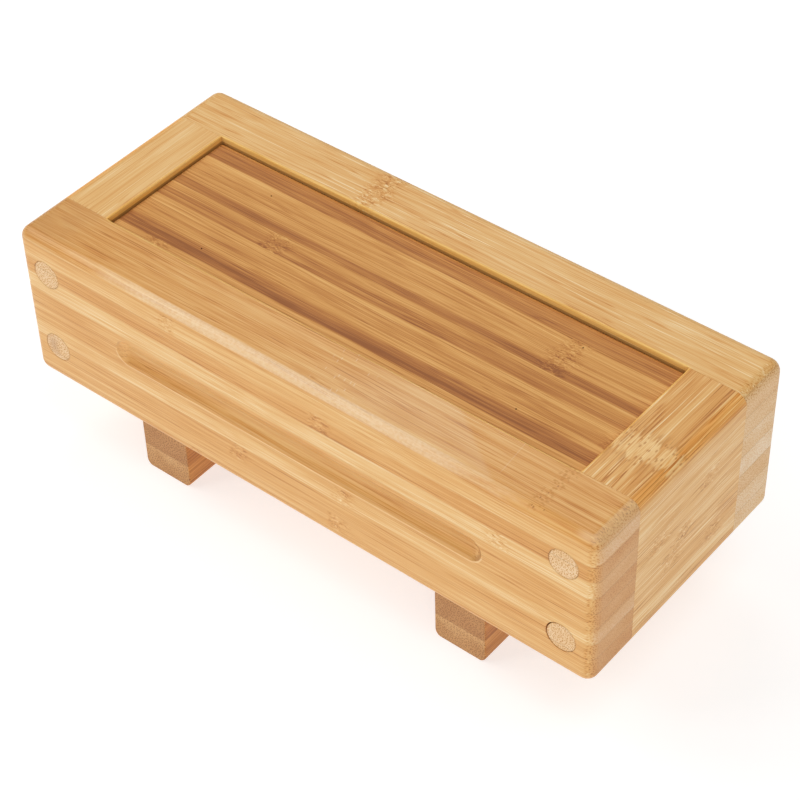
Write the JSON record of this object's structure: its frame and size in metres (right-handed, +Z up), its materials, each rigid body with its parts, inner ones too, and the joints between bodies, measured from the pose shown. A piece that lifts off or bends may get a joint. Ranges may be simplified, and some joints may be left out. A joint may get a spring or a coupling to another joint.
{
  "type": "pressed rice mold box",
  "caption": "Bamboo press mold: an open rectangular frame pegged at the corners, standing round a footed base board, with a loose press board inside.",
  "frame": {"origin": "centre of the box on the floor, under the two feet", "axes": "+X along the box to its right end, +Y from the front rail to the back rail, +Z up, the way the frame and the press lift off"},
  "size_m": [0.19, 0.08, 0.0708],
  "materials": {
    "rail_bamboo": "natural bamboo, edge-glued strips along the rail, satin oil",
    "end_board_bamboo": "natural bamboo, edge-glued strips across the box, satin oil",
    "dowel_bamboo": "pale bamboo end grain, sanded flush",
    "board_bamboo": "carbonised bamboo strips of mixed tone, satin oil",
    "batten_bamboo": "carbonised bamboo, sanded",
    "pin_steel": "dulled steel"
  },
  "bodies": {
    "base": {"base_board": "board_bamboo", "left_foot": "batten_bamboo", "right_foot": "batten_bamboo", "base_pin_left_front": "pin_steel", "base_pin_left_back": "pin_steel", "base_pin_right_front": "pin_steel", "base_pin_right_back": "pin_steel"},
    "frame": {"front_rail": "rail_bamboo", "back_rail": "rail_bamboo", "left_end_board": "end_board_bamboo", "right_end_board": "end_board_bamboo", "dowel_front_left_low": "dowel_bamboo", "dowel_front_left_high": "dowel_bamboo", "dowel_front_right_low": "dowel_bamboo", "dowel_front_right_high": "dowel_bamboo", "dowel_back_left_low": "dowel_bamboo", "dowel_back_left_high": "dowel_bamboo", "dowel_back_right_low": "dowel_bamboo", "dowel_back_right_high": "dowel_bamboo"},
    "press": {"press_board": "board_bamboo", "left_handle_batten": "batten_bamboo", "right_handle_batten": "batten_bamboo", "press_pin_left_front": "pin_steel", "press_pin_left_back": "pin_steel", "press_pin_right_front": "pin_steel", "press_pin_right_back": "pin_steel"}
  },
  "joints": [
    {"name": "frame_lift", "type": "slide", "parent": "base", "child": "frame", "axis": [0, 0, 1], "range_m": [0, 0.055]},
    {"name": "press_lift", "type": "slide", "parent": "base", "child": "press", "axis": [0, 0, 1], "range_m": [0, 0.11]}
  ]
}
